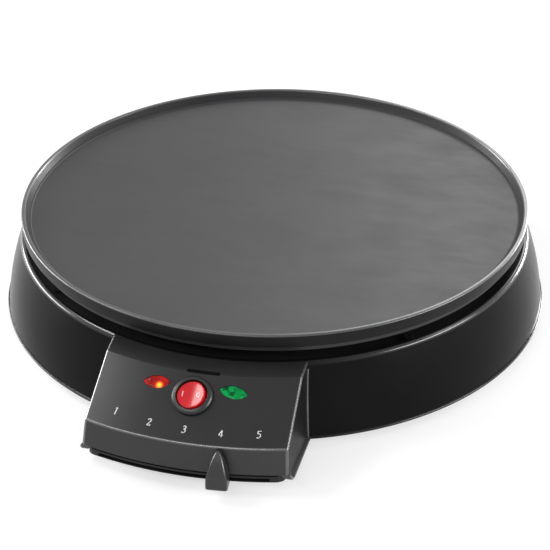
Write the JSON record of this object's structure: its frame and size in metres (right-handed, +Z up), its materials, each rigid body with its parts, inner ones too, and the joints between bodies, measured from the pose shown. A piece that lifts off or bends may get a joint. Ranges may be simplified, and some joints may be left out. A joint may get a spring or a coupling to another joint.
{
  "type": "electric crepe maker",
  "caption": "Round electric crepe maker: an open rimmed hotplate on a flared housing, with a front control box that carries a rocker switch, lamps and a sliding heat lever.",
  "frame": {"origin": "on the hotplate's upright axis, in the plane that the four rubber feet stand on", "axes": "+Z up, out of the cooking surface; -Y towards the control box at the front; +X to the right of someone who faces the control box"},
  "size_m": [0.3456, 0.3978, 0.0703],
  "materials": {
    "plate_coating": "cast aluminium with a fine satin non-stick coating",
    "element_sheath": "dull drawn tube",
    "plated_tabs": "tin-plated",
    "sheet_steel": "pressed sheet",
    "zinc_steel": "zinc-plated",
    "dark_steel": "black heat-resistant coating on steel",
    "thermostat_ceramic": "pressed steatite, matt",
    "fuse_ceramic": "matt",
    "brass": "stamped",
    "knob_plastic": "satin moulded",
    "housing_plastic": "satin moulded, heat-resistant",
    "box_plastic": "satin moulded, heat-resistant",
    "cover_plastic": "moulded, fine texture",
    "bezel_plastic": "polished",
    "rocker_red": "translucent red, polished",
    "lens_red": "translucent red",
    "lens_green": "translucent green",
    "lamp_glass": "clear",
    "pale_nylon": "moulded nylon",
    "rubber": "matt",
    "lead_insulation": "extruded",
    "glass_sleeve": "woven glass-fibre sleeve",
    "earth_insulation": "extruded"
  },
  "bodies": {
    "base": {"hotplate": "plate_coating", "heating_element": "element_sheath", "element_terminals": "plated_tabs", "heat_shield": "dark_steel", "shield_screws": "dark_steel", "plate_spacers": "zinc_steel", "plate_screws": "zinc_steel", "thermostat_bracket": "sheet_steel", "thermostat_body": "thermostat_ceramic", "thermostat_contacts": "brass", "underplate_screws": "zinc_steel", "thermal_fuse": "fuse_ceramic", "fuse_clamp": "sheet_steel", "base_housing": "housing_plastic", "control_box": "box_plastic", "box_screws": "zinc_steel", "switch_body": "bezel_plastic", "switch_terminals": "plated_tabs", "power_lens": "lens_red", "ready_lens": "lens_green", "power_lamp": "lamp_glass", "ready_lamp": "lamp_glass", "lamp_holders": "pale_nylon", "base_cover": "cover_plastic", "cover_screws": "zinc_steel", "rubber_feet": "rubber", "cord_inlet": "rubber", "cord_clamp": "pale_nylon", "cord_clamp_screws": "zinc_steel", "terminal_block": "pale_nylon", "supply_leads": "lead_insulation", "element_leads": "glass_sleeve", "earth_lead": "earth_insulation"},
    "lever": {"thermostat_spindle": "zinc_steel", "lever_arm": "sheet_steel", "lever_clip": "zinc_steel", "lever_knob": "knob_plastic"},
    "rocker": {"power_rocker": "rocker_red"}
  },
  "joints": [
    {"name": "lever_turn", "type": "hinge", "parent": "base", "child": "lever", "pos_m": [0, 0, 0.0368], "axis": [0, 0, 1], "range_deg": [-18, 6]},
    {"name": "rocker_tip", "type": "hinge", "parent": "base", "child": "rocker", "pos_m": [0, -0.18538, 0.04269], "axis": [0, 0.8538, 0.5206], "range_deg": [0, 18]}
  ]
}
